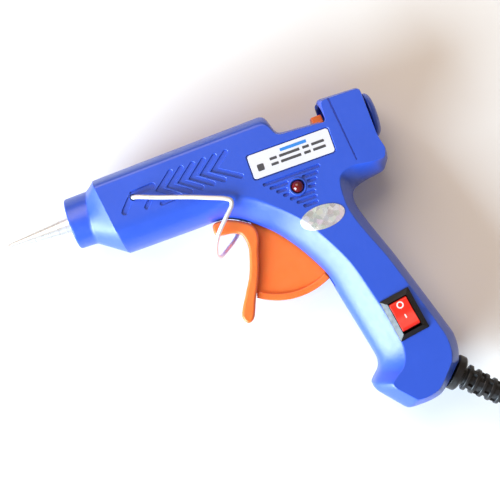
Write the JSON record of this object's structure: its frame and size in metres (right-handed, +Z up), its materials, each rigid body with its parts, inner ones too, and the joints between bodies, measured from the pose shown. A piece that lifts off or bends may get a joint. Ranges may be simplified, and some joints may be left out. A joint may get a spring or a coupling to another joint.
{
  "type": "glue gun",
  "caption": "Corded pistol-grip hot-melt glue gun with a metal nozzle, lever trigger, wire stand, rocker switch and coiled mains lead.",
  "frame": {"origin": "on the table, under the middle of the gun's own box, without its strain relief and lead", "axes": "+X along the barrel from nozzle to glue inlet, +Y from handle to barrel top, +Z up out of the gun's left side, as it lies on its right side"},
  "size_m": [0.2634, 0.1757, 0.034],
  "materials": {
    "blue_housing": "fine matte grain",
    "orange_plastic": "smooth, half gloss",
    "red_plastic": "smooth gloss",
    "black_plastic": "satin",
    "black_rubber": "matt rubber",
    "cord_jacket": "satin PVC",
    "bright_metal": "turned and plated",
    "stand_wire": "bright drawn wire",
    "spring_steel": "spring steel",
    "screw_steel": "zinc plated",
    "aluminium": "die cast",
    "heater_ceramic": "matt ceramic",
    "silicone": "silicone rubber",
    "red_lens": "clear tinted resin",
    "label_film": "printed film",
    "foil": "holographic foil",
    "brass": "bright",
    "red_wire": "wire insulation",
    "white_wire": "wire insulation"
  },
  "bodies": {
    "body": {"housing_left": "blue_housing", "housing_right": "blue_housing", "inlet_ring": "blue_housing", "nozzle": "bright_metal", "melt_chamber": "aluminium", "ptc_heater": "heater_ceramic", "heater_clip": "spring_steel", "silicone_sleeve": "silicone", "sleeve_clip": "spring_steel", "return_spring": "spring_steel", "trigger_pin": "spring_steel", "led_lamp": "red_lens", "led_resistor": "heater_ceramic", "rating_label": "label_film", "inspection_sticker": "foil", "switch_body": "black_plastic", "switch_terminal_1": "brass", "switch_terminal_2": "brass", "housing_screw_1": "screw_steel", "housing_screw_2": "screw_steel", "housing_screw_3": "screw_steel", "housing_screw_4": "screw_steel", "housing_screw_5": "screw_steel", "live_wire_in": "red_wire", "live_wire_out": "red_wire", "neutral_wire": "white_wire", "strain_relief": "black_rubber", "cord_lead": "cord_jacket", "cord_coil": "cord_jacket", "cord_tail": "cord_jacket", "plug_body": "black_plastic", "plug_blade_1": "brass", "plug_blade_2": "brass"},
    "trigger": {"trigger": "orange_plastic"},
    "feeder": {"feeder_carriage": "orange_plastic"},
    "stand": {"wire_stand": "stand_wire"},
    "switch_rocker": {"rocker": "red_plastic"}
  },
  "joints": [
    {"name": "trigger_pull", "type": "hinge", "parent": "body", "child": "trigger", "pos_m": [0.02485, 0.02115, 0.01635], "axis": [0, 0, 1], "range_deg": [0, 24], "stiffness_Nm_per_rad": 0.35, "springref_deg": -5.73, "deforming": ["return_spring"]},
    {"name": "feed_slide", "type": "slide", "parent": "body", "child": "feeder", "axis": [-1, 0, 0], "range_m": [0, 0.0061]},
    {"name": "stand_swing", "type": "hinge", "parent": "body", "child": "stand", "pos_m": [-0.02095, 0.045, 0.01635], "axis": [0, 0, 1], "range_deg": [-100, 0]},
    {"name": "switch_rock", "type": "hinge", "parent": "body", "child": "switch_rocker", "pos_m": [0.05385, -0.02485, 0.02935], "axis": [0.9877, 0.1564, 0], "range_deg": [0, 16]}
  ],
  "couplings": [
    {"joint": "feed_slide", "follows": "trigger_pull", "m_per_rad": 0.0143}
  ]
}
